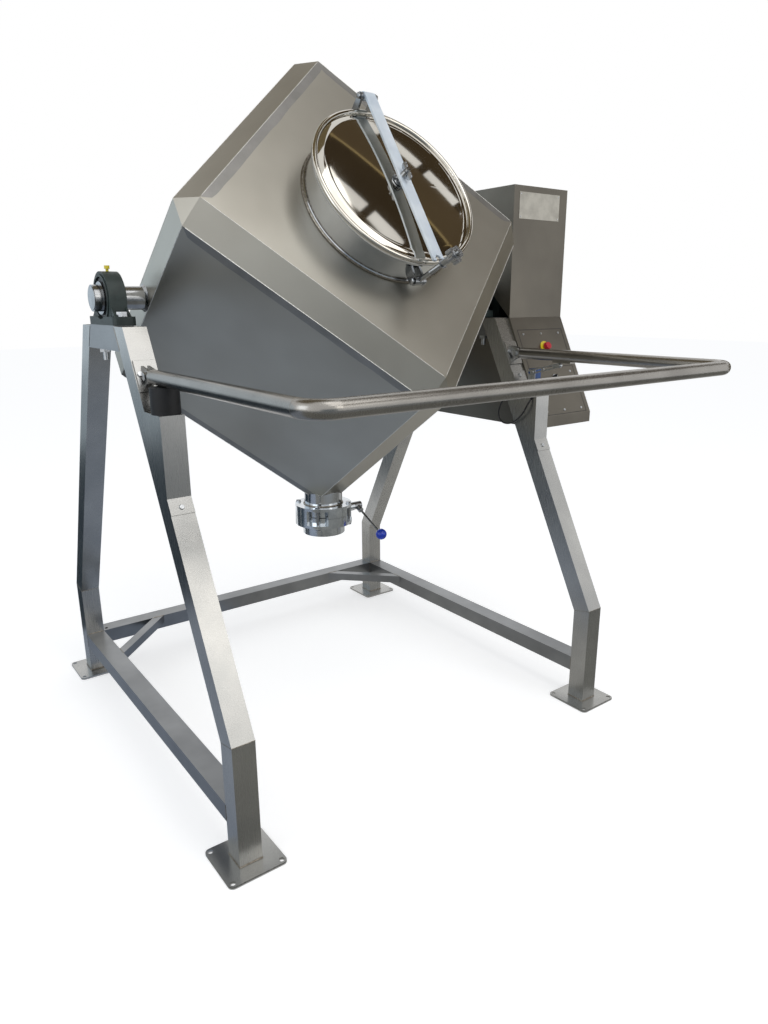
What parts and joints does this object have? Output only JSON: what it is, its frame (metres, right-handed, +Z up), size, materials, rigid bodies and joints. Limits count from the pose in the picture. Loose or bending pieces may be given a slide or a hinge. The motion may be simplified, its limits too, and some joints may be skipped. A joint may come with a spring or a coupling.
{
  "type": "cubic powder mixer",
  "caption": "Tumbling mixer: bevelled cuboid vessel hung on one corner between bearings on splayed tube legs, with manhole, bottom valve, guard rail and side drive.",
  "frame": {"origin": "on the floor under the foot plates, midway between the four posts, straight under the vessel's axis", "axes": "+X along the vessel's turning axis towards the drive, +Y to the back, away from the guard rail, +Z up"},
  "size_m": [2.169, 2.2802, 2.6066],
  "materials": {
    "frame_steel": "satin",
    "vessel_steel": "semi-bright",
    "bright_steel": "mirror",
    "cast_grey": "satin",
    "zinc": "bright",
    "black_rubber": "matt",
    "yellow_plastic": "gloss",
    "red_plastic": "gloss",
    "blue_plastic": "gloss",
    "black_plastic": "satin",
    "gasket_rubber": "matt"
  },
  "bodies": {
    "frame": {"leg_front_left": "frame_steel", "leg_rear_left": "frame_steel", "leg_front_right": "frame_steel", "leg_rear_right": "frame_steel", "top_beams": "frame_steel", "base_beams_side": "frame_steel", "base_beam_rear": "frame_steel", "corner_braces": "frame_steel", "foot_plates": "frame_steel", "bearing_housing_left": "cast_grey", "bearing_housing_right": "cast_grey", "bearing_outer_rings": "zinc", "bearing_bolts": "zinc", "grease_caps": "yellow_plastic", "guard_hinge_brackets": "frame_steel", "guard_hinge_bolts": "zinc", "guard_buffer": "black_rubber", "console_left": "frame_steel", "console_right": "frame_steel", "limit_switch": "blue_plastic", "limit_switch_plate": "zinc", "drive_cover": "frame_steel", "panel_screws": "zinc", "gear_unit": "cast_grey", "drive_motor": "cast_grey", "torque_arm": "zinc", "estop_plate": "yellow_plastic", "selector_bezel": "bright_steel", "switch_cable": "black_rubber", "cable_grommets": "black_rubber"},
    "vessel": {"vessel_shell": "vessel_steel", "outlet_tube": "vessel_steel", "shaft_left": "vessel_steel", "shaft_right": "vessel_steel", "bearing_inner_rings": "zinc", "manhole_collar": "vessel_steel", "lid_hinge_bracket": "bright_steel", "swing_bolt_bracket": "bright_steel", "valve_body_upper": "vessel_steel", "valve_body_lower": "vessel_steel", "valve_bolts": "zinc"},
    "lid": {"lid_dome": "bright_steel", "lid_gasket": "gasket_rubber", "lid_arm": "bright_steel", "lid_stud": "bright_steel"},
    "wing_nut": {"lid_wing_nut": "bright_steel"},
    "swing_bolt": {"swing_bolt": "bright_steel"},
    "hand_nut": {"hand_nut": "bright_steel"},
    "valve": {"valve_disc": "frame_steel", "valve_lever": "bright_steel", "lever_ball": "blue_plastic"},
    "guard": {"guard_bar_left": "frame_steel", "guard_bar_right": "frame_steel", "guard_bar_front": "frame_steel", "guard_elbows": "frame_steel", "guard_actuator": "frame_steel"},
    "switch_lever": {"switch_lever": "zinc"},
    "estop": {"estop_button": "red_plastic"},
    "selector": {"selector_knob": "black_plastic"}
  },
  "joints": [
    {"name": "vessel_turn", "type": "hinge", "parent": "frame", "child": "vessel", "pos_m": [0, 0, 1.7576], "axis": [1, 0, 0], "continuous": true},
    {"name": "lid_hinge", "type": "hinge", "parent": "vessel", "child": "lid", "pos_m": [0, -0.36933, 2.4242], "axis": [-1, 0, 0], "range_deg": [0, 110]},
    {"name": "wing_nut_spin", "type": "hinge", "parent": "lid", "child": "wing_nut", "pos_m": [0, -0.58027, 2.14912], "axis": [0, -0.829, 0.5593], "continuous": true},
    {"name": "swing_bolt_hinge", "type": "hinge", "parent": "vessel", "child": "swing_bolt", "pos_m": [0, -0.65567, 1.80673], "axis": [1, 0, 0], "range_deg": [-12, 75]},
    {"name": "hand_nut_spin", "type": "hinge", "parent": "swing_bolt", "child": "hand_nut", "pos_m": [0, -0.65567, 1.80673], "axis": [0, -0.9271, 0.3747], "continuous": true},
    {"name": "valve_turn", "type": "hinge", "parent": "vessel", "child": "valve", "pos_m": [0, 0, 0.841], "axis": [1, 0, 0], "range_deg": [0, 90]},
    {"name": "guard_hinge", "type": "hinge", "parent": "frame", "child": "guard", "pos_m": [0, -0.33442, 1.515], "axis": [-1, 0, 0], "range_deg": [0, 90]},
    {"name": "switch_lever_hinge", "type": "hinge", "parent": "frame", "child": "switch_lever", "pos_m": [0.83, -0.426, 1.434], "axis": [1, 0, 0], "range_deg": [0, 20], "stiffness_Nm_per_rad": 0.6, "springref_deg": -28.65},
    {"name": "estop_press", "type": "slide", "parent": "frame", "child": "estop", "axis": [0, 0.896, -0.4441], "range_m": [0, 0.006]},
    {"name": "selector_turn", "type": "hinge", "parent": "frame", "child": "selector", "pos_m": [1.0535, -0.37472, 1.394], "axis": [0, -0.896, 0.4441], "range_deg": [0, 60]}
  ]
}
